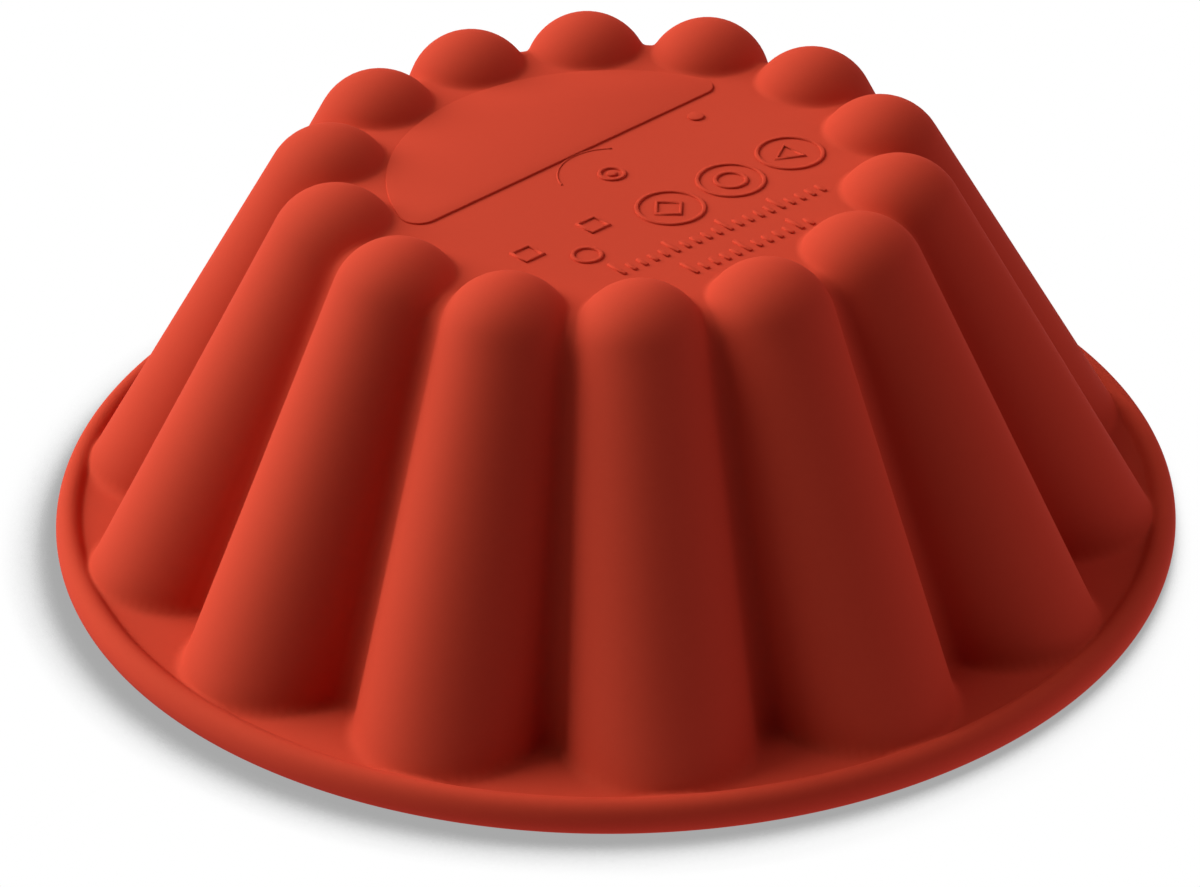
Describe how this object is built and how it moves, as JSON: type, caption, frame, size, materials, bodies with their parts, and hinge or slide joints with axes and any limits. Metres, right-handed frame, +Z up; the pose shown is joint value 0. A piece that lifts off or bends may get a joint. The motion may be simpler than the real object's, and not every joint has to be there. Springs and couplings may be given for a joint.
{
  "type": "brioche mould",
  "caption": "Round fluted baking mould of silicone rubber, turned out mouth down, with a domed end on each flute, a flat base and a beaded flange that holds a sealed wire hoop.",
  "frame": {"origin": "centre of the rim's underside, on the surface that the mould lies on mouth down", "axes": "+Z up along the axis of symmetry, from the mouth towards the base; +X to the picture's right"},
  "size_m": [0.15, 0.15, 0.055],
  "materials": {
    "silicone": "matte terracotta red silicone rubber",
    "ring_steel": "drawn steel wire"
  },
  "bodies": {
    "root": {"mould_shell": "silicone", "rim_ring": "ring_steel"}
  },
  "joints": []
}
